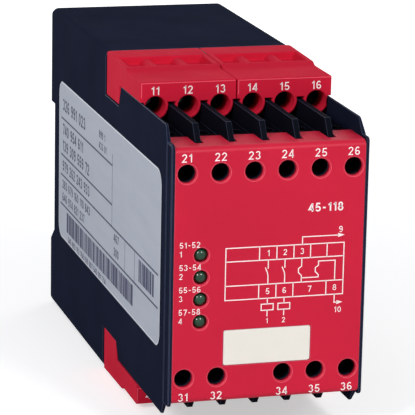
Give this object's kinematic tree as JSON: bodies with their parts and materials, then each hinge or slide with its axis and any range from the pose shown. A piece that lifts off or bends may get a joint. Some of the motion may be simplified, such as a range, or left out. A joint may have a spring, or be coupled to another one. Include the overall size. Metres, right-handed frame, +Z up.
{
  "type": "safety relay",
  "caption": "Rail-mounted safety relay module: black case with stepped cheeks, red front cover, red rear terminal blocks, status lamps, blank tag and a sprung rail latch.",
  "frame": {"origin": "middle of the bottom of the whole unit, below the middle of its length and width", "axes": "+Z up as mounted on a level rail, +X to the right seen from the front, +Y back towards the rail; the front face looks along -Y"},
  "size_m": [0.045, 0.118, 0.077],
  "materials": {
    "case_black": "fine moulded texture",
    "carrier_black": "smooth moulded",
    "cover_red": "satin moulded, printed in white",
    "block_red": "satin moulded",
    "tag_white": "smooth blank writing face",
    "label_silver": "silvered polyester film with dark lines",
    "led_green": "tinted clear epoxy",
    "board_green": "solder resist over glass-epoxy board",
    "ribbon_grey": "flat cable",
    "core_steel": "varnished steel laminations",
    "coil_amber": "taped winding",
    "relay_grey": "smooth sealed box",
    "can_aluminium": "sleeved can",
    "fuse_glass": "clear tube with metal caps",
    "clip_brass": "spring brass",
    "latch_black": "smooth moulded",
    "spring_steel": "drawn spring wire",
    "screw_steel": "zinc plated",
    "cage_steel": "zinc plated",
    "strip_brass": "tinned brass strip"
  },
  "bodies": {
    "housing": {"housing_case": "case_black", "front_carrier_upper": "carrier_black", "front_carrier_lower": "carrier_black", "front_cover": "cover_red", "rear_block_upper_left": "block_red", "rear_block_upper_right": "block_red", "rear_block_lower_left": "block_red", "rear_block_lower_right": "block_red", "marker_tag": "tag_white", "rating_label": "label_silver", "led_1": "led_green", "led_2": "led_green", "led_3": "led_green", "led_4": "led_green", "display_board": "board_green", "terminal_board": "board_green", "power_board": "board_green", "logic_board": "board_green", "display_ribbon": "ribbon_grey", "transformer_core": "core_steel", "transformer_coil": "coil_amber", "safety_relay_1": "relay_grey", "safety_relay_2": "relay_grey", "capacitors": "can_aluminium", "fuse": "fuse_glass", "fuse_clips": "clip_brass", "latch_spring": "spring_steel", "terminal_screws_front_upper": "screw_steel", "clamp_cages_front_upper": "cage_steel", "contact_strips_front_upper": "strip_brass", "terminal_screws_front_lower": "screw_steel", "clamp_cages_front_lower": "cage_steel", "contact_strips_front_lower": "strip_brass", "terminal_screws_rear_upper": "screw_steel", "clamp_cages_rear_upper": "cage_steel", "contact_strips_rear_upper": "strip_brass", "terminal_screws_rear_lower": "screw_steel", "clamp_cages_rear_lower": "cage_steel", "contact_strips_rear_lower": "strip_brass"},
    "latch": {"rail_latch": "latch_black"}
  },
  "joints": [
    {"name": "rail_latch_slide", "type": "slide", "parent": "housing", "child": "latch", "axis": [0, 0, -1], "range_m": [0, 0.0025], "stiffness_N_per_m": 1500, "springref_m": -0.002, "deforming": ["latch_spring"]}
  ]
}
